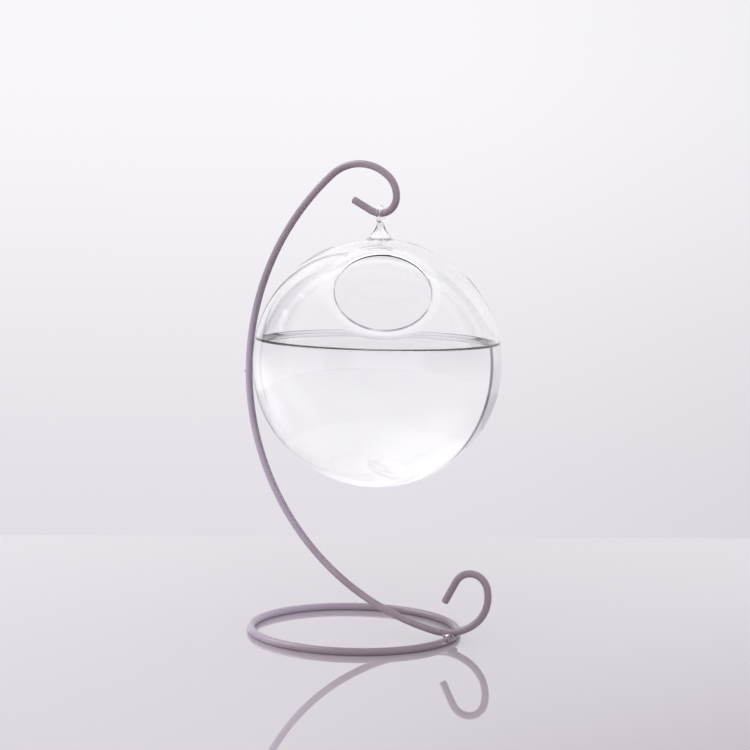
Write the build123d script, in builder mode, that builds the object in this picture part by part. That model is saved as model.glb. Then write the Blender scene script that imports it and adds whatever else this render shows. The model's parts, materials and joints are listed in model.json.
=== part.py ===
"""Hanging propagation vase: a blown glass globe of water on a bent and painted wire stand.

The frame stands on the table at the centre of the base ring, with +Z up. The stand's wire lies in the
XZ plane, with its curl towards +X, and the globe's mouth looks out towards -Y.
"""

import math
import os

from build123d import *

# Base ring and wire stock, in millimetres.
ring_outer_diameter = 104.5
ring_wire = 3.7
ring_flat_depth = 0.15
rod_diameter = 3.5
rod_end_round = 0.5

# Weld between the rod and the ring: how far the rod is set down into the ring, and the bead round it.
set_down = 0.4
weld_diameter = 7.4
weld_height = 3.6

# Glass globe. The lift is the gap between the table and the globe's lowest point, and the lip's radius is
# the bend, at the middle of the wall, by which the wall is drawn in round the mouth.
globe_diameter = 120.0
glass_wall = 1.8
globe_lift = 72.7
mouth_diameter = 44.6
mouth_azimuth = 26.0
mouth_elevation = 43.0
lip_radius = 10.0

# Water. The level is counted from the globe's centre.
water_level = 10.7
water_clearance = 0.05

# Glass eye, fused on top of the globe.
eye_bore = 5.4
eye_strand = 1.9
eye_clearance = 0.2
eye_stem_height = 6.5
eye_neck_diameter = 3.8
eye_neck_cap = 0.5
eye_foot_diameter = 13.6
eye_foot_edge = 0.4

# Bends of the stand's wire, from the free end of the hook to the tail of the curl. The belly is where the
# wire bows out furthest beside the globe, and the foot is its lowest bend, set in from the ring that it
# crosses. Radii are at the wire's centre, and turns are in degrees.
hang_offset = 9.2
belly_gap = 7.2
belly_drop = 5.8
tip_length = 10.3
tip_rise = 28.0
tip_bend_radius = 11.4
hook_low_radius = 8.0
hook_side_radius = 12.9
crown_radius = 22.4
crown_start = 48.0
foot_inset = 3.9
foot_radius = 26.0
foot_turn = 38.0
curl_radius = 17.4
curl_turn = 66.0
curl_end_radius = 8.6
curl_end_turn = 138.0
curl_tail = 12.0

# Heights, stacked up from the table.
rod_radius = rod_diameter / 2
ring_radius = (ring_outer_diameter - ring_wire) / 2
ring_centre_z = ring_wire / 2 - ring_flat_depth
ring_top_z = ring_centre_z + ring_wire / 2
seat_z = ring_top_z - set_down + rod_radius
globe_radius = globe_diameter / 2
globe_centre_z = globe_lift + globe_radius
globe_top_z = globe_centre_z + globe_radius
eye_neck_z = globe_top_z + eye_stem_height
eye_centre_z = eye_neck_z + eye_strand + eye_bore / 2
hang_z = eye_centre_z + eye_bore / 2 - eye_clearance - rod_radius

# Belly of the wire, kept clear of the globe.
belly_x = hang_offset - globe_radius - belly_gap - rod_radius
belly_z = globe_centre_z - belly_drop


def polar(centre, radius, angle):
    """Point at a radius and an angle in degrees from a centre in the wire's plane."""
    return (
        centre[0] + radius * math.cos(math.radians(angle)),
        centre[1] + radius * math.sin(math.radians(angle)),
    )


def sweep_radius(bend_centre, bend_radius):
    """Radius of the arc that is upright at the belly and runs tangent into a smaller bend."""
    reach = bend_centre[0] - belly_x
    rise = bend_centre[1] - belly_z
    return (reach**2 + rise**2 - bend_radius**2) / (2 * (reach - bend_radius))


def direction(start, end):
    """Angle in degrees, from 0 to 360, of the line from one point to another."""
    return math.degrees(math.atan2(end[1] - start[1], end[0] - start[0])) % 360


# Each bend starts where the one before it ends, with the same tangent, so the centres follow one another.
tip_start = -90 - tip_rise
curl_start = 270 + foot_turn
curl_mid = curl_start + curl_turn
curl_finish = curl_mid + curl_end_turn

tip_centre = (hang_offset, hang_z + tip_bend_radius)
low_centre = (hang_offset, hang_z + hook_low_radius)
side_centre = polar(low_centre, hook_low_radius - hook_side_radius, 0)
crown_centre = polar(side_centre, hook_side_radius - crown_radius, crown_start)
foot_centre = (ring_radius - foot_inset, seat_z + math.sqrt(foot_radius**2 - foot_inset**2))
curl_centre = polar(foot_centre, foot_radius - curl_radius, curl_start)
curl_end_centre = polar(curl_centre, curl_radius - curl_end_radius, curl_mid)

upper_radius = sweep_radius(crown_centre, crown_radius)
lower_radius = sweep_radius(foot_centre, foot_radius)
upper_centre = (belly_x + upper_radius, belly_z)
lower_centre = (belly_x + lower_radius, belly_z)
crown_finish = direction(upper_centre, crown_centre)
foot_start = direction(lower_centre, foot_centre)

bends = [
    (tip_centre, tip_bend_radius, tip_start, -90),
    (low_centre, hook_low_radius, -90, 0),
    (side_centre, hook_side_radius, 0, crown_start),
    (crown_centre, crown_radius, crown_start, crown_finish),
    (upper_centre, upper_radius, crown_finish, 180),
    (lower_centre, lower_radius, 180, foot_start),
    (foot_centre, foot_radius, foot_start, curl_start),
    (curl_centre, curl_radius, curl_start, curl_mid),
    (curl_end_centre, curl_end_radius, curl_mid, curl_finish),
]

# The straight ends leave the first and the last bend along their tangents.
tip_root = polar(tip_centre, tip_bend_radius, tip_start)
tip_point = polar(tip_root, tip_length, tip_start - 90)
tail_root = polar(curl_end_centre, curl_end_radius, curl_finish)
tail_point = polar(tail_root, curl_tail, curl_finish + 90)

os.makedirs("parts", exist_ok=True)

# Stand rod: one length of wire, bent into the hook, the sweep round the globe and the curl.
with BuildPart() as stand_rod:
    with BuildLine(Plane.XZ) as rod_line:
        Line(tip_point, tip_root)
        for centre, radius, start, end in bends:
            CenterArc(centre, radius, start, end - start)
        Line(tail_root, tail_point)
    rod_path = rod_line.wires()[0]
    with BuildSketch(Plane(origin=rod_path @ 0, z_dir=rod_path % 0)):
        Circle(rod_radius)
    sweep(path=rod_path)
    for x, z in (tip_point, tail_point):
        end_edges = stand_rod.edges().filter_by(GeomType.CIRCLE).sort_by_distance((x, 0, z))
        fillet(end_edges[0], rod_end_round)

stand_rod.part.label = "stand_rod"
export_step(stand_rod.part, "parts/stand_rod.step")

# Base ring: the same kind of wire, ground flat underneath, with the rod set down into its top.
with BuildPart() as base_ring:
    with BuildSketch(Plane.XZ):
        with Locations((ring_radius, ring_centre_z)):
            Circle(ring_wire / 2)
        with Locations((ring_radius, 0)):
            Rectangle(ring_wire, ring_wire, align=(Align.CENTER, Align.MAX), mode=Mode.SUBTRACT)
    revolve(axis=Axis.Z)
    add(stand_rod.part, mode=Mode.SUBTRACT)

base_ring.part.label = "base_ring"
export_step(base_ring.part, "parts/base_ring.step")

# Weld: the bead squeezed out round the crossing, shaped by the two wires that it joins.
with BuildPart() as stand_weld:
    with BuildSketch(Plane.XZ):
        with Locations((ring_radius, ring_top_z)):
            Ellipse(weld_diameter / 2, weld_height / 2)
            Rectangle(weld_diameter, weld_height, align=(Align.MAX, Align.CENTER), mode=Mode.SUBTRACT)
    revolve(axis=Axis((ring_radius, 0, 0), (0, 0, 1)))
    add(base_ring.part, mode=Mode.SUBTRACT)
    add(stand_rod.part, mode=Mode.SUBTRACT)

stand_weld.part.label = "stand_weld"
export_step(stand_weld.part, "parts/stand_weld.step")

# Globe: a thin shell turned about the axis of its mouth. Round the mouth the wall is drawn in to a lip that
# lies square to the axis and ends in a fire-polished, fully rounded rim.
globe_centre = Vector(hang_offset, 0, globe_centre_z)
azimuth = math.radians(mouth_azimuth)
elevation = math.radians(mouth_elevation)
mouth_axis = Vector(
    math.cos(elevation) * math.sin(azimuth),
    -math.cos(elevation) * math.cos(azimuth),
    math.sin(elevation),
)
mouth_side = Vector(math.cos(azimuth), math.sin(azimuth), 0)
inner_radius = globe_radius - glass_wall
lip_reach = globe_radius - glass_wall / 2 - lip_radius
lip_angle = math.degrees(math.asin((mouth_diameter + glass_wall) / 2 / lip_reach))
lip_centre = polar((0, 0), lip_reach, lip_angle)
rim_centre = polar(lip_centre, lip_radius, 0)

with BuildPart() as globe:
    with BuildSketch(Plane(origin=globe_centre, x_dir=mouth_axis, z_dir=mouth_side)):
        with BuildLine():
            outer = CenterArc((0, 0), globe_radius, lip_angle, 180 - lip_angle)
            inner = CenterArc((0, 0), inner_radius, lip_angle, 180 - lip_angle)
            Line(outer @ 1, inner @ 1)
            CenterArc(lip_centre, lip_radius + glass_wall / 2, 0, lip_angle)
            CenterArc(lip_centre, lip_radius - glass_wall / 2, 0, lip_angle)
            CenterArc(rim_centre, glass_wall / 2, 0, -180)
        make_face()
    revolve(axis=Axis(globe_centre, mouth_axis))

globe.part.label = "globe"
export_step(globe.part, "parts/globe.step")

# Hanging eye: a loop of drawn glass on a flared foot that is fused to the top of the globe.
eye_loop_radius = (eye_bore + eye_strand) / 2
eye_neck_radius = eye_neck_diameter / 2
eye_foot_radius = eye_foot_diameter / 2
eye_flare_radius = eye_foot_radius - eye_neck_radius
foot_angle = math.degrees(math.acos(eye_foot_radius / globe_radius))
foot_edge_z = globe_centre_z + globe_radius * math.sin(math.radians(foot_angle)) + eye_foot_edge
flare_z = foot_edge_z + eye_flare_radius
cap_z = eye_neck_z + eye_neck_cap
eye_axis = Axis((hang_offset, 0, 0), (0, 0, 1))

with BuildPart() as hanging_eye:
    with BuildSketch(Plane.XZ):
        with BuildLine():
            seat = CenterArc((hang_offset, globe_centre_z), globe_radius, foot_angle, 90 - foot_angle)
            flare = CenterArc((hang_offset + eye_foot_radius, flare_z), eye_flare_radius, 180, 90)
            cap = CenterArc((hang_offset, cap_z), eye_neck_radius, 0, 90)
            Line(seat @ 0, flare @ 1)
            Line(flare @ 0, cap @ 0)
            Line(cap @ 1, seat @ 1)
        make_face()
    revolve(axis=eye_axis)
    with BuildSketch(Plane.XZ):
        with Locations((hang_offset, eye_centre_z + eye_loop_radius)):
            Circle(eye_strand / 2)
    revolve(axis=Axis((hang_offset, 0, eye_centre_z), (1, 0, 0)))

hanging_eye.part.label = "hanging_eye"
export_step(hanging_eye.part, "parts/hanging_eye.step")

# Water: it fills the bottom of the globe up to its level.
water_radius = inner_radius - water_clearance
water_angle = math.degrees(math.asin(water_level / water_radius))

with BuildPart() as water:
    with BuildSketch(Plane.XZ):
        with BuildLine():
            bowl = CenterArc((hang_offset, globe_centre_z), water_radius, -90, 90 + water_angle)
            Polyline(bowl @ 1, (hang_offset, globe_centre_z + water_level), bowl @ 0)
        make_face()
    revolve(axis=eye_axis)

water.part.label = "water"
export_step(water.part, "parts/water.step")
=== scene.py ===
# %% [markdown]
# This lesson dresses a hanging propagation vase: a blown glass globe, half full of water, that swings from
# a bent wire stand. The solids of the vase are loaded as a fixed frame. The wire and its ring stay as they
# are and get paint. The glass, the water and the weld are modelled again, because light shows every
# facet of clear glass, and a weld is never as neat as a drawing.

# %% Load the frame
import json
import math

import bmesh
import bpy
from mathutils import Matrix, Vector


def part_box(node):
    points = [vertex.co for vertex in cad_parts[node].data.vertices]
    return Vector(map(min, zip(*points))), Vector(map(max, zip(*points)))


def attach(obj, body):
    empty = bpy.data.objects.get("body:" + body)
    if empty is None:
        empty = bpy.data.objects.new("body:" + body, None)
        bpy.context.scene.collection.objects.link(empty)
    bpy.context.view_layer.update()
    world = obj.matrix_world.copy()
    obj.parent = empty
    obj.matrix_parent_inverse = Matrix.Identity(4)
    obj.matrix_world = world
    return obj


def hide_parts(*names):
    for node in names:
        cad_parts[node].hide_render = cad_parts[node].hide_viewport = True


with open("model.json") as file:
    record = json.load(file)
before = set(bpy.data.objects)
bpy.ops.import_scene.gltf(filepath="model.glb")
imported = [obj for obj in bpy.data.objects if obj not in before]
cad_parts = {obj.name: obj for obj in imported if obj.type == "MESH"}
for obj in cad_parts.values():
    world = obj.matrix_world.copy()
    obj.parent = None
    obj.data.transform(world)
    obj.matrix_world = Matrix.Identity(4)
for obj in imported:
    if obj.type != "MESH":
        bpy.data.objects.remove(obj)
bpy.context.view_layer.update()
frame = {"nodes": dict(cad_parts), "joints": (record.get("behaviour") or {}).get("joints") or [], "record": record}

scene = bpy.context.scene
nodes = frame["nodes"]
print("frame:", sorted(nodes))

# %% [markdown]
# Every place comes from the frame. The globe's box gives its centre and its radius, the swing's hinge
# gives the point where it hangs, and the mouth is one of the record's mounts, with its own axis.

# %% Read the main places
mounts = {mount["name"]: mount for mount in frame["record"]["mounts"]}
swing = frame["joints"][0]

globe_low, globe_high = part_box("globe")
globe_centre = (globe_low + globe_high) / 2
globe_radius = (globe_high.z - globe_low.z) / 2
mouth_centre = Vector(mounts["mouth"]["pos_m"])
mouth_axis = Vector(mounts["mouth"]["axis"]).normalized()
hang_point = Vector(swing["pos_m"])
water_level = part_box("water")[1].z
print("globe radius", round(globe_radius * 1000, 2), "mm, water level", round(water_level * 1000, 2), "mm")

# %% [markdown]
# The camera stands about a metre off, a little above the water, with a long lens. It looks down by a few
# degrees and is tipped a little about its own line of sight. A turn about Z, then X, then the lens axis
# is easiest to say as three rotation matrices. Light crosses many walls on its way through a filled globe,
# so it is allowed more bounces than usual, or the water would show black where its path is cut short.

# %% Camera
camera_place = Vector((0.4032, -0.9187, 0.2268))
camera_turn = math.radians(23.27)
camera_pitch = math.radians(5.715)
camera_roll = math.radians(1.285)
camera_lens = 100.06
film_width = 36.0
light_bounces = 40

camera_data = bpy.data.cameras.new("camera")
camera_data.lens = camera_lens
camera_data.sensor_width = film_width
camera = bpy.data.objects.new("camera", camera_data)
scene.collection.objects.link(camera)
camera.matrix_world = (
    Matrix.Translation(camera_place)
    @ Matrix.Rotation(camera_turn, 4, "Z")
    @ Matrix.Rotation(math.pi / 2 - camera_pitch, 4, "X")
    @ Matrix.Rotation(camera_roll, 4, "Z")
)
scene.camera = camera
scene.view_settings.view_transform = "Standard"
scene.cycles.max_bounces = light_bounces
scene.cycles.transmission_bounces = light_bounces
print("camera", [round(v, 3) for v in camera_place])

# %% [markdown]
# A shader is easier to read as sums than as boxes and links. A Signal holds one output of a node, and
# plus, minus and times on it add Math nodes. A Sheet holds a node tree, and its one node method makes
# any other node from its type, its settings and what goes into its sockets.

# %% Shader arithmetic
class Signal:
    """One output socket of a shader node, which Python's operators can work on."""

    def __init__(self, sheet, socket):
        self.sheet = sheet
        self.socket = socket

    def math(self, operation, first, second):
        return self.sheet.node("ShaderNodeMath", {"operation": operation}, {0: first, 1: second})

    def __add__(self, other):
        return self.math("ADD", self, other)

    def __sub__(self, other):
        return self.math("SUBTRACT", self, other)

    def __rsub__(self, other):
        return self.math("SUBTRACT", other, self)

    def __mul__(self, other):
        return self.math("MULTIPLY", self, other)

    __radd__ = __add__
    __rmul__ = __mul__


class Sheet:
    """A node tree under construction."""

    def __init__(self, tree):
        self.tree = tree

    def feed(self, socket, value):
        if isinstance(value, Signal):
            self.tree.links.new(value.socket, socket)
        else:
            socket.default_value = value

    def node(self, kind, settings=None, inputs=None, output=0):
        made = self.tree.nodes.new(kind)
        for key, value in (settings or {}).items():
            setattr(made, key, value)
        for key, value in (inputs or {}).items():
            self.feed(made.inputs[key], value)
        return Signal(self, made.outputs[output])

    def place(self):
        return self.node("ShaderNodeTexCoord", output="Object")

    def axis(self, name):
        return self.node("ShaderNodeSeparateXYZ", None, {0: self.place()}, output=name)

    def noise(self, scale, detail=2.0):
        return self.node(
            "ShaderNodeTexNoise", None, {"Vector": self.place(), "Scale": scale, "Detail": detail}
        )

    def ramp(self, value, low, high, to_low=0.0, to_high=1.0):
        return self.node(
            "ShaderNodeMapRange",
            {"interpolation_type": "SMOOTHSTEP"},
            {"Value": value, "From Min": low, "From Max": high, "To Min": to_low, "To Max": to_high},
        )

    def mix(self, factor, first, second):
        return self.node(
            "ShaderNodeMix",
            {"data_type": "RGBA"},
            {"Factor": factor, 6: first, 7: second},
            output=2,
        )

    def vector(self, operation, inputs, output="Vector"):
        return self.node("ShaderNodeVectorMath", {"operation": operation}, inputs, output)

    def dot(self, first, second):
        return self.vector("DOT_PRODUCT", {0: first, 1: second}, "Value")

    def bump(self, height, strength, distance):
        return self.node(
            "ShaderNodeBump", None, {"Height": height, "Strength": strength, "Distance": distance}
        )


def srgb(red, green, blue):
    """A colour that is given as screen values, from 0 to 255, in linear light."""
    linear = []
    for value in (red, green, blue):
        part = value / 255
        linear.append(part / 12.92 if part <= 0.04045 else ((part + 0.055) / 1.055) ** 2.4)
    return (*linear, 1.0)


def new_finish(name):
    """A new material, with its node sheet and its main shader."""
    material = bpy.data.materials.new(name)
    material.use_nodes = True
    return material, Sheet(material.node_tree), material.node_tree.nodes["Principled BSDF"].inputs


def dress(piece, material):
    """Gives a piece one material all over."""
    piece.data.materials.clear()
    piece.data.materials.append(material)


print("shader helpers ready")

# %% [markdown]
# The wire is sprayed with a satin, lilac-grey paint. Painted light makes it paler on the left, from the foot
# up the sweep, and painted shade makes it darker on the right, on the ring's right half and on the curl. Up
# close the colour drifts over a few centimetres, fine specks show where the paint dried rough, and the skin
# has a slight orange peel. Ramps over the place on the wire set the painted light and shade, and noises add
# the rest.

# %% Painted wire
paint_light = srgb(156, 141, 151)
paint_dark = srgb(144, 129, 138)
# Painted light and painted shade: a paler tone for the left of the stand, low down, and a darker one for the
# ring's right half and the curl.
painted_light_colour = srgb(184, 172, 189)
painted_shade_colour = srgb(137, 122, 132)
paint_speck = srgb(112, 98, 107)
paint_roughness = 0.26
drift_scale = 55.0
peel_scale = 1100.0
speck_scale = 900.0
speck_range = (0.62, 0.74)
painted_light_across = (-0.058, 0.005)
painted_light_height = (0.13, 0.18)
ring_across = (-0.03, 0.03)
ring_top = (0.004, 0.014)
curl_across = (0.025, 0.05)

wire_paint, sheet, shader = new_finish("wire_paint")
drift = sheet.noise(drift_scale, 3.0)
peel = sheet.noise(peel_scale)
specks = sheet.ramp(sheet.noise(speck_scale, 4.0), *speck_range)
coat = sheet.mix(sheet.ramp(drift, 0.35, 0.65), paint_dark, paint_light)
across, height = sheet.axis("X"), sheet.axis("Z")
# Painted light: this mask is 1 on the left of the stand, below about the globe's middle, where the colour is made
# paler.
painted_light_mask = sheet.ramp(across, *painted_light_across, 1.0, 0.0) * sheet.ramp(height, *painted_light_height, 1.0, 0.0)
on_ring = sheet.ramp(height, *ring_top, 1.0, 0.0) * sheet.ramp(across, *ring_across)
# Painted shade: this mask is 0 on the ring's right half and out at the curl, where the colour is made darker.
no_painted_shade = (1.0 - on_ring) * sheet.ramp(across, *curl_across, 1.0, 0.0)
coat = sheet.mix(no_painted_shade, painted_shade_colour, sheet.mix(painted_light_mask, coat, painted_light_colour))
sheet.feed(shader["Base Color"], sheet.mix(specks * 0.35, coat, paint_speck))
sheet.feed(shader["Roughness"], paint_roughness + peel * 0.14 + specks * 0.12)
sheet.feed(shader["Normal"], sheet.bump(peel + drift * 2.0, 0.08, 0.0002))
shader["Coat Weight"].default_value = 0.35
shader["Coat Roughness"].default_value = 0.12

for name in ("stand_rod", "base_ring"):
    dress(nodes[name], wire_paint)
print("painted:", wire_paint.name)

# %% [markdown]
# The weld is painted too, over rough metal and soot. It is darker than the wire and blotched, and on its
# smoothest spots the paint has rubbed thin, so that bright metal shows. One noise drives all three: its
# low values are sooty paint, its middle is clean paint, and its peaks are bare metal.

# %% Painted weld
weld_paint_light = srgb(156, 141, 152)
weld_paint_dark = srgb(92, 78, 90)
weld_metal = srgb(236, 232, 238)
weld_roughness = 0.32
blotch_scale = 700.0
grit_scale = 3200.0
soot_range = (0.35, 0.5)
bare_range = (0.53, 0.61)

weld_paint, sheet, shader = new_finish("weld_paint")
blotch = sheet.noise(blotch_scale, 3.0)
grit = sheet.noise(grit_scale)
bare = sheet.ramp(blotch, *bare_range)
coat = sheet.mix(sheet.ramp(blotch, *soot_range), weld_paint_dark, weld_paint_light)
sheet.feed(shader["Base Color"], sheet.mix(bare, coat, weld_metal))
sheet.feed(shader["Metallic"], bare)
sheet.feed(shader["Roughness"], weld_roughness - bare * 0.16)
sheet.feed(shader["Normal"], sheet.bump(blotch + grit * 0.4, 0.35, 0.0003))
print("painted:", weld_paint.name)

# %% [markdown]
# Blown glass is clear, and it shows mostly by what it bends and mirrors. Its skin waves a little, and the
# wall has faint streaks from the gather. The mouth was cut and then melted smooth. Its rim is given a little
# grey, in stretches and mostly low down. How far a point lies from the mouth's axis says whether it is on
# the rim: the cross product of its place and the axis has that length.

# %% Clear glass
glass_tint = srgb(255, 255, 255)
glass_streak = srgb(254, 255, 255)
rim_grey = srgb(150, 142, 148)
mouth_radius = 0.0223
rim_aside = (mouth_radius + 0.0003, mouth_radius + 0.0009)
rim_outwards = (-0.004, -0.003)
rim_height = (0.172, 0.182)
rim_stretch_scale = 90.0
rim_stretch_range = (0.38, 0.5)
wave_scale = 38.0
streak_scale = 120.0
glass_index = 1.5

clear_glass, sheet, shader = new_finish("clear_glass")
waves = sheet.noise(wave_scale, 1.0)
streaks = sheet.noise(streak_scale)
from_mouth = sheet.vector("SUBTRACT", {0: sheet.place(), 1: mouth_centre})
outwards = sheet.dot(from_mouth, mouth_axis)
aside = sheet.vector(
    "LENGTH", {0: sheet.vector("CROSS_PRODUCT", {0: from_mouth, 1: mouth_axis})}, "Value"
)
low_down = sheet.ramp(sheet.axis("Z"), *rim_height, 1.0, 0.0)
stretches = sheet.ramp(sheet.noise(rim_stretch_scale), *rim_stretch_range)
rim = sheet.ramp(aside, *rim_aside, 1.0, 0.0) * sheet.ramp(outwards, *rim_outwards)
rim = rim * low_down * stretches
tint = sheet.mix(sheet.ramp(streaks, 0.45, 0.7), glass_tint, glass_streak)
sheet.feed(shader["Base Color"], sheet.mix(rim, tint, rim_grey))
sheet.feed(shader["Roughness"], sheet.ramp(streaks, 0.55, 0.8, 0.0, 0.012) + rim * 0.05)
sheet.feed(shader["Normal"], sheet.bump(waves, 0.05, 0.002))
shader["IOR"].default_value = glass_index
shader["Transmission Weight"].default_value = 1.0
print("glass:", clear_glass.name)

# %% [markdown]
# The eye is pulled from a softer gather than the globe. Its skin is finely drawn, and its index is a little
# lower, which keeps so small a piece bright.

# %% Drawn glass
pull_scale = 420.0
drawn_index = 1.4

drawn_glass, sheet, shader = new_finish("drawn_glass")
pull = sheet.noise(pull_scale)
sheet.feed(shader["Base Color"], sheet.mix(sheet.ramp(pull, 0.4, 0.7), glass_tint, glass_streak))
sheet.feed(shader["Roughness"], sheet.ramp(pull, 0.5, 0.8, 0.0, 0.02))
sheet.feed(shader["Normal"], sheet.bump(pull, 0.08, 0.0006))
shader["IOR"].default_value = drawn_index
shader["Transmission Weight"].default_value = 1.0
print("glass:", drawn_glass.name)

# %% [markdown]
# Water is clearer than the glass and bends light less. Its flat top is still, so it only gets a trace of
# unevenness.

# %% Water
water_clear = srgb(255, 255, 255)
water_depth = srgb(254, 255, 255)
swirl_scale = 25.0
water_index = 1.333

still_water, sheet, shader = new_finish("still_water")
swirl = sheet.noise(swirl_scale, 1.0)
sheet.feed(shader["Base Color"], sheet.mix(sheet.ramp(swirl, 0.4, 0.7), water_clear, water_depth))
sheet.feed(shader["Roughness"], sheet.ramp(swirl, 0.5, 0.9, 0.0, 0.004))
shader["IOR"].default_value = water_index
shader["Transmission Weight"].default_value = 1.0
print("water:", still_water.name)

# %% [markdown]
# New pieces are modelled as by hand. An operator works on all that is selected, so a piece starts with
# nothing selected, and it ends at the origin with its place in its mesh.

# %% Modelling helpers
def clear_selection():
    bpy.ops.object.select_all(action="DESELECT")


def settle(name):
    """Names the active object and moves its place and turn into its mesh."""
    piece = bpy.context.object
    piece.name = name
    piece.data.name = name
    bpy.ops.object.transform_apply(location=True, rotation=True, scale=True)
    return piece


def edit(mode):
    """Opens the active mesh with all of it selected, ready for edges or faces."""
    bpy.ops.object.mode_set(mode="EDIT")
    bpy.ops.mesh.select_mode(type=mode)
    bpy.ops.mesh.select_all(action="SELECT")


def choose(kind, test):
    """Selects only the edges or faces of the open mesh that pass a test."""
    bpy.ops.mesh.select_all(action="DESELECT")
    mesh = bmesh.from_edit_mesh(bpy.context.edit_object.data)
    for item in getattr(mesh, kind):
        if test(item):
            item.select_set(True)
    bmesh.update_edit_mesh(bpy.context.edit_object.data)


def close_edit():
    bpy.ops.object.mode_set(mode="OBJECT")


def modify(kind, **settings):
    """Adds a modifier to the active object, sets it and applies it."""
    bpy.ops.object.modifier_add(type=kind)
    modifier = bpy.context.object.modifiers[-1]
    for key, value in settings.items():
        setattr(modifier, key, value)
    bpy.ops.object.modifier_apply(modifier=modifier.name)


def join(pieces):
    """Joins pieces into the first of them, which is left active."""
    clear_selection()
    for piece in pieces:
        piece.select_set(True)
    bpy.context.view_layer.objects.active = pieces[0]
    bpy.ops.object.join()


def melt(voxel, passes):
    """Turns the active piece into one skin and softens it."""
    modify("REMESH", mode="VOXEL", voxel_size=voxel)
    modify("SMOOTH", factor=0.5, iterations=passes)
    bpy.ops.object.shade_smooth()


def drop(place, size, squash):
    """A small ball, squashed in X, Y and Z, at a place."""
    clear_selection()
    bpy.ops.mesh.primitive_ico_sphere_add(subdivisions=3, radius=size)
    edit("FACE")
    bpy.ops.transform.resize(value=squash)
    close_edit()
    bpy.context.object.location = place
    return settle("drop")


def count(piece):
    print(piece.name, len(piece.data.polygons), "faces")


# %% [markdown]
# The globe is a sphere with a hole cut in it, a wall, and a lip that the flame has rounded and drawn in a
# little. It is modelled at the origin with its mouth upwards, where every step of the lip is a plain
# extrude and resize. Solidify gives the wall, a bevel rounds the rim, and only then is the globe
# turned and moved to its place.

# %% Globe
glass_wall = 0.0018
lip_radius = 0.010
lip_steps = 14
globe_segments = 192
globe_rings = 132
rim_bevel = glass_wall * 0.49

wall_middle = globe_radius - glass_wall / 2
lip_reach = wall_middle - lip_radius
lip_angle = math.asin((mouth_radius + glass_wall / 2) / lip_reach)


def lip_point(lean):
    """Width and height of the lip's middle, where the wall leans by an angle from the mouth's plane."""
    return (
        lip_reach * math.sin(lip_angle) + lip_radius * math.sin(lean),
        lip_reach * math.cos(lip_angle) + lip_radius * math.cos(lean),
    )


lip_line = [lip_point(lip_angle * (1 - step / lip_steps)) for step in range(lip_steps + 1)]
lip_line.append((mouth_radius, lip_line[-1][1]))

clear_selection()
bpy.ops.mesh.primitive_uv_sphere_add(segments=globe_segments, ring_count=globe_rings, radius=wall_middle)
edit("EDGE")
bpy.ops.mesh.bisect(plane_co=(0, 0, lip_line[0][1]), plane_no=(0, 0, 1), clear_outer=True)
choose("edges", lambda edge: edge.is_boundary)
for (width, height), (new_width, new_height) in zip(lip_line, lip_line[1:]):
    bpy.ops.mesh.extrude_region_move(TRANSFORM_OT_translate={"value": (0, 0, new_height - height)})
    bpy.ops.transform.resize(value=(new_width / width, new_width / width, 1), center_override=(0, 0, 0))
bpy.ops.mesh.select_all(action="SELECT")
bpy.ops.mesh.normals_make_consistent(inside=False)
close_edit()
modify("SOLIDIFY", thickness=glass_wall, offset=0.0, use_even_offset=True)


def on_rim(edge):
    """True for an edge that runs round the mouth's end, on the inner or the outer skin."""
    first, second = (vertex.co for vertex in edge.verts)
    at_mouth = max(first.xy.length, second.xy.length) < mouth_radius + glass_wall / 4 and first.z > 0
    return at_mouth and abs(first.z - second.z) < glass_wall / 4


edit("EDGE")
choose("edges", on_rim)
bpy.ops.mesh.bevel(offset=rim_bevel, segments=6, profile=0.5, affect="EDGES")
close_edit()
bpy.ops.object.shade_smooth()
bpy.context.object.rotation_euler = mouth_axis.to_track_quat("Z", "Y").to_euler()
bpy.context.object.location = globe_centre
globe_glass = settle("globe_glass")
dress(globe_glass, clear_glass)
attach(globe_glass, "vessel")
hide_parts("globe")
count(globe_glass)

# %% [markdown]
# The water fills the bowl up to its level, and creeps up the glass all round: that curved edge, the
# meniscus, is what draws the dark line across the globe. The body is a sphere that reaches a hair into
# the glass, so that no film of air is left between them. It is cut where the creeping edge ends, and the
# cut face is then inset, ring by ring, down to the flat top. The level of the solid lies halfway between.

# %% Water body
water_grip = 0.0002
meniscus_rise = 0.0017
meniscus_width = 0.0026
meniscus_rings = 10
level_rings = 3
water_rings = 128
upward = 0.99

bowl_radius = globe_radius - glass_wall + water_grip

clear_selection()
bpy.ops.mesh.primitive_uv_sphere_add(
    segments=globe_segments, ring_count=water_rings, radius=bowl_radius, location=globe_centre
)
water_body = settle("water_body")
edit("FACE")
bpy.ops.mesh.bisect(
    plane_co=(0, 0, water_level + meniscus_rise / 2),
    plane_no=(0, 0, 1),
    clear_outer=True,
    use_fill=True,
)
choose("faces", lambda face: face.normal.z > upward and face.calc_center_median().z > water_level)
rise_left = meniscus_rise
for ring in range(1, meniscus_rings + 1):
    reach = ring / meniscus_rings
    height = meniscus_rise * (1 - reach) ** 2
    bpy.ops.mesh.inset(thickness=meniscus_width / meniscus_rings, depth=height - rise_left)
    rise_left = height
for ring in range(level_rings):
    bpy.ops.mesh.inset(thickness=meniscus_width, depth=0.0)
close_edit()
bpy.ops.object.shade_smooth()
dress(water_body, still_water)
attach(water_body, "vessel")
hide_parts("water")
count(water_body)

# %% [markdown]
# The eye is a thread of hot glass, drawn up from a flared foot, curled over the wire's thickness and
# stuck back on itself. A torus makes the loop. The foot is a disc that is extruded upwards step by step
# and drawn in to the neck. It starts well inside the globe's wall, because the two were fused. Foot and
# loop are merged, remeshed and smoothed, so that they run into each other as the soft glass did.
#
# A bubble was drawn up into the foot with the glass, which is why it looks so bright. A second, smaller
# flare is that hollow, and a Boolean cuts it out, down through the base. One more remesh clears the slivers
# that the cut leaves, so that the eye is one closed skin.

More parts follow.
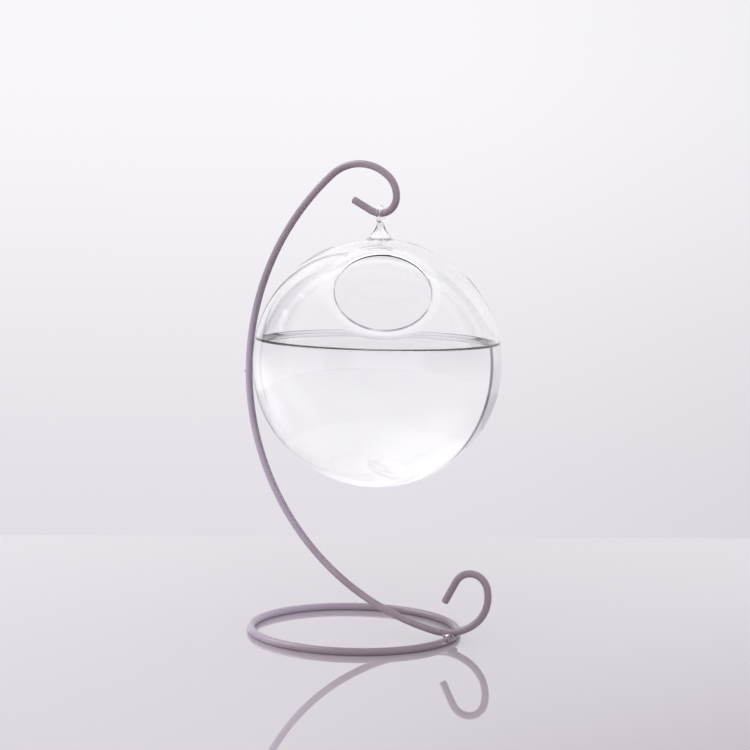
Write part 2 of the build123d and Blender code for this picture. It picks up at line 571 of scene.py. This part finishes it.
# %% Hanging eye
strand_radius = 0.00095
eye_bore = 0.0054
eye_clearance = 0.0002
wire_radius = 0.00175
foot_radius = 0.0068
neck_radius = 0.0016
foot_sink = 0.0012
foot_steps = 14
foot_hollow = 1.45
bubble_sink = 0.0008
bubble_rise = 0.72
bubble_width = 0.92
bubble_neck = 0.6
soft_voxel = 0.00016
skin_voxel = 0.00013

loop_radius = eye_bore / 2 + strand_radius
loop_centre = hang_point + Vector((0, 0, wire_radius + eye_clearance - eye_bore / 2))
foot_base = globe_centre.z + math.sqrt(globe_radius**2 - foot_radius**2) - foot_sink
foot_rise = loop_centre.z - loop_radius - foot_base


def flare(name, base, rise, wide, narrow):
    """A round, closed body that stands on a height and narrows upwards in a hollow curve."""
    clear_selection()
    bpy.ops.mesh.primitive_circle_add(
        vertices=64, radius=wide, fill_type="NGON", location=(hang_point.x, hang_point.y, base)
    )
    body = settle(name)
    edit("FACE")
    width = wide
    for step in range(1, foot_steps + 1):
        left = 1 - step / foot_steps
        new_width = narrow + (wide - narrow) * left**foot_hollow
        bpy.ops.mesh.extrude_region_move(TRANSFORM_OT_translate={"value": (0, 0, rise / foot_steps)})
        bpy.ops.transform.resize(
            value=(new_width / width, new_width / width, 1),
            center_override=(hang_point.x, hang_point.y, base),
        )
        width = new_width
    bpy.ops.mesh.select_all(action="SELECT")
    bpy.ops.mesh.normals_make_consistent(inside=False)
    close_edit()
    return body


eye_glass = flare("eye_glass", foot_base, foot_rise, foot_radius, neck_radius)
clear_selection()
bpy.ops.mesh.primitive_torus_add(
    major_radius=loop_radius,
    minor_radius=strand_radius,
    major_segments=96,
    minor_segments=32,
    location=loop_centre,
    rotation=(0, math.pi / 2, 0),
)
eye_loop = settle("eye_loop")
join([eye_glass, eye_loop])
melt(soft_voxel, 12)

bubble = flare(
    "bubble",
    foot_base - bubble_sink,
    foot_rise * bubble_rise + bubble_sink,
    foot_radius * bubble_width,
    neck_radius * bubble_neck,
)
melt(soft_voxel, 6)
bpy.context.view_layer.objects.active = eye_glass
modify("BOOLEAN", operation="DIFFERENCE", solver="EXACT", object=bubble)
bpy.data.objects.remove(bubble)
eye_glass.select_set(True)
melt(skin_voxel, 3)
dress(eye_glass, drawn_glass)
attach(eye_glass, "vessel")
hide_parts("hanging_eye")
count(eye_glass)

# %% [markdown]
# The weld is a lumpy bead. Molten metal ran into the corners between the rod and the ring, and the gun was
# drawn away along the ring's outside, where it left a trail of ripples. Squashed balls are set close
# together, joined, remeshed and smoothed, which melts those that touch into one bead, as the metal did. The
# last ones of the trail stay single drops.

# %% Weld bead
weld_voxel = 0.00014
ring_wire_radius = 0.00185
corner_lift = 0.0001
corner_squash = (1.0, 0.85, 0.8)
trail_squash = (0.7, 0.8, 0.9)

ring_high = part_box("base_ring")[1]
ring_radius = ring_high.x - ring_wire_radius
ring_height = ring_high.z - ring_wire_radius

# A corner lump lies across and aside from the crossing, and has a size. A trail lump lies aside along the
# ring, leans by some degrees up its outside, and has a size.
corner_lumps = [
    (-0.0015, -0.0022, 0.0015),
    (0.0002, -0.0025, 0.0015),
    (0.0016, -0.0021, 0.0014),
    (-0.0016, 0.0021, 0.0015),
    (0.0001, 0.0024, 0.0014),
    (0.0017, 0.0022, 0.0014),
]
trail_lumps = [
    (-0.0028, 40, 0.0011),
    (-0.0042, 28, 0.0010),
    (-0.0056, 18, 0.0009),
    (-0.0071, 10, 0.0008),
    (-0.0086, 4, 0.0007),
    (-0.0102, 0, 0.0006),
]

lumps = []
for across, aside, size in corner_lumps:
    place = Vector((ring_radius + across, aside, ring_high.z + corner_lift))
    lumps.append(drop(place, size, corner_squash))
for aside, lean, size in trail_lumps:
    reach = ring_radius + ring_wire_radius * math.cos(math.radians(lean))
    up = ring_height + ring_wire_radius * math.sin(math.radians(lean))
    turn = math.asin(aside / ring_radius)
    place = Vector((reach * math.cos(turn), reach * math.sin(turn), up))
    lumps.append(drop(place, size, trail_squash))
join(lumps)
melt(weld_voxel, 3)
weld_bead = settle("weld_bead")
dress(weld_bead, weld_paint)
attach(weld_bead, "stand")
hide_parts("stand_weld")
count(weld_bead)

# %% [markdown]
# Spray paint dries over whatever lies on the wire. A few grains of spatter stand proud of it: one on the
# outside of the sweep, one close to the weld and a few more on the ring. Each is a ball that is
# squashed and sunk to its middle in the wire's skin.

# %% Paint nibs
nib_voxel = 0.0001
nib_squash = (0.9, 1.0, 1.2)
nib_places = [
    (-0.06136, -0.00069, 0.1246, 0.00055),
    (0.0462, -0.0012, 0.0059, 0.0005),
    (-0.0338, -0.0386, 0.0029, 0.00045),
    (0.0129, -0.0500, 0.0031, 0.0004),
    (-0.0204, 0.0472, 0.0033, 0.0004),
]

nibs = [drop(Vector(place), size, nib_squash) for *place, size in nib_places]
join(nibs)
melt(nib_voxel, 2)
paint_nibs = settle("paint_nibs")
dress(paint_nibs, wire_paint)
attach(paint_nibs, "stand")
count(paint_nibs)

# %% [markdown]
# The stage is a pale, polished table top with a straight back edge. It mirrors nearly half of what stands
# on it, so a dull and a mirror-like shader are mixed. Its dull colour darkens towards the front right, which
# is painted shade for the light falling off across the table.

# %% Table
table_back = 0.261
table_turn = math.radians(28.93)
table_size = 3.0
table_pale = srgb(207, 199, 207)
# A darker tone used as painted shade, where the table's light falls off towards the front right.
table_painted_shade = srgb(168, 152, 167)
table_mirror = 1.6
table_index = 1.45
table_roughness = 0.02
table_shade_direction = Vector((0.8, -0.2, 0))
table_shade_range = (0.06, 0.28)

clear_selection()
bpy.ops.mesh.primitive_plane_add(size=table_size, rotation=(0, 0, table_turn))
table = bpy.context.object
table.name = "table"
table.location = Matrix.Rotation(table_turn, 3, "Z") @ Vector((0, table_back - table_size / 2, 0))
bpy.ops.object.transform_apply(location=True, rotation=True, scale=True)

table_top, sheet, shader = new_finish("table_top")
# Painted shade: the dull colour darkens from the pale tone towards the front right.
spot = sheet.dot(sheet.place(), table_shade_direction)
colour = sheet.mix(sheet.ramp(spot, *table_shade_range), table_pale, table_painted_shade)
dull = sheet.node("ShaderNodeBsdfDiffuse", None, {"Color": colour})
polish = sheet.node("ShaderNodeBsdfGlossy", None, {"Color": (1, 1, 1, 1), "Roughness": table_roughness})
mirror = sheet.node("ShaderNodeFresnel", None, {"IOR": table_index}) * table_mirror
surface = sheet.node("ShaderNodeMixShader", None, {0: mirror, 1: dull, 2: polish})
sheet.feed(table_top.node_tree.nodes["Material Output"].inputs["Surface"], surface)
dress(table, table_top)
print("table laid")

# %% [markdown]
# The room is a soft gradient, palest at the top. Glass is only as good as what it shows, so mirrors and
# glass also see a studio round them: a bright panel overhead, one at the back right, a wide one high at the
# back left with a faint one beside it, and a grey left side whose dark edge draws the line along the globe's
# right limb. A corner behind the camera is unlit, which only shows in reflections inside the glass, and a
# strong soft box at the left is only mirrored by the satin paint. All of it depends on one direction, from
# which the shader takes a few dot products, and the light path says what kind of surface the ray comes from.

# %% Room
room_high = srgb(249, 247, 251)
room_low = srgb(227, 222, 229)
grey_side = srgb(216, 208, 221)
edge_dark = srgb(84, 70, 86)
room_light = 0.85
room_range = (-0.2, 0.06)
right_dim = 0.09
left_turn = 48.5
wall_top = (0.45, 0.75)
side_end = (-0.06, -0.04)
side_ahead = (0.0, 0.2)
side_foot = (-0.12, -0.04)
side_fade = (0.0, 0.3)
edge_start = (-0.065, -0.045)
edge_end = (0.0, 0.02)
edge_ahead = (0.1, 0.3)

# Each panel has a turn, a rise, a core and a fade, all in degrees, and then the light that it adds.
panels = [
    (50, 13, 4, 24, 0.22),
    (-42, 48, 10, 34, 0.4),
    (-16, 24, 4, 22, 0.12),
    (0, 88, 15, 50, 0.7),
]
satin_box = (-80, 42, 12, 36)
satin_light = 3.0
unlit_corner = (-143, 4, 9, 18)
unlit_loss = 0.65

view_ahead = Vector((-math.sin(camera_turn), math.cos(camera_turn), 0))
view_right = Vector((math.cos(camera_turn), math.sin(camera_turn), 0))


def toward(turn, rise):
    """The direction at a turn to the right of the line of sight, and at a rise above the table."""
    turn, rise = math.radians(turn), math.radians(rise)
    level = view_ahead * math.cos(turn) + view_right * math.sin(turn)
    return level * math.cos(rise) + Vector((0, 0, math.sin(rise)))


world = bpy.data.worlds.new("room")
scene.world = world
world.use_nodes = True
sheet = Sheet(world.node_tree)
background = world.node_tree.nodes["Background"]
facing = sheet.node("ShaderNodeTexCoord", output="Generated")


def along(direction):
    """How far the ray goes along a direction."""
    return sheet.dot(facing, direction)


def path(name):
    """What the light path says of the ray, such as whether it comes from a mirror."""
    return sheet.node("ShaderNodeLightPath", output=name)


def panel(turn, rise, core, fade):
    """A round, soft patch of the room: 1 inside its core, 0 outside its fade, both in degrees."""
    near = math.cos(math.radians(core))
    far = math.cos(math.radians(fade))
    return sheet.ramp(along(toward(turn, rise)), far, near)


def light(colour, level):
    return sheet.vector("SCALE", {0: colour, "Scale": level})


height = along((0, 0, 1))
gradient = sheet.mix(sheet.ramp(height, *room_range), room_low, room_high)
plain_room = light(gradient, 1.0 - right_dim * sheet.ramp(along(view_right), 0.0, 0.25))

side = along(toward(left_turn, 0))
ahead = along(view_ahead)
low = sheet.ramp(height, *wall_top, 1.0, 0.0)
left_side = sheet.ramp(side, *side_end, 1.0, 0.0) * sheet.ramp(ahead, *side_ahead) * low
left_side = left_side * sheet.ramp(height, *side_foot) * sheet.ramp(height, *side_fade, 0.75, 1.0)
left_edge = sheet.ramp(side, *edge_start) * sheet.ramp(side, *edge_end, 1.0, 0.0)
left_edge = left_edge * sheet.ramp(ahead, *edge_ahead) * low
walls = sheet.mix(left_side, gradient, grey_side)
walls = sheet.mix(left_edge, walls, edge_dark)

by_mirror = path("Is Glossy Ray")
through_glass = path("Is Transmission Ray")
mirrored = through_glass * sheet.ramp(path("Glossy Depth"), 0.0, 1.0)
satin = by_mirror * (1.0 - path("Is Singular Ray"))
lit = 1.0
for *spot, gain in panels:
    lit = lit + panel(*spot) * gain
lit = lit + panel(*satin_box) * satin * satin_light
lit = lit - panel(*unlit_corner) * mirrored * unlit_loss
studio = light(walls, lit)

by_glass = by_mirror + through_glass
seen = path("Is Camera Ray") + by_glass
sheet.feed(background.inputs["Color"], sheet.mix(by_glass, plain_room, studio))
sheet.feed(background.inputs["Strength"], sheet.ramp(seen, 0.0, 1.0, room_light, 1.0))
print("room ready")

# %% [markdown]
# Three soft lamps give the wire its lighter and darker sides: a wide one at the left, a small one low down at
# the left front, and a wide one behind the camera. Glass and table would show them as hard squares, so they
# are hidden from mirrors and from glass.

# %% Lamps
def softbox(name, place, size, radiance):
    """A square lamp that looks at the middle of the globe."""
    data = bpy.data.lights.new(name, "AREA")
    data.size = size
    data.energy = radiance * math.pi * size**2
    lamp = bpy.data.objects.new(name, data)
    scene.collection.objects.link(lamp)
    lamp.location = place
    lamp.rotation_euler = (globe_centre - place).to_track_quat("-Z", "Y").to_euler()
    lamp.visible_camera = False
    lamp.visible_glossy = False
    lamp.visible_transmission = False


softbox("left_lamp", globe_centre + toward(-105, 8) * 1.2, 0.8, 0.7)
softbox("low_lamp", Vector((-0.62, -0.4, 0.16)), 0.4, 0.8)
softbox("front_lamp", globe_centre + toward(170, 25) * 1.4, 1.0, 0.7)
print("lamps ready")
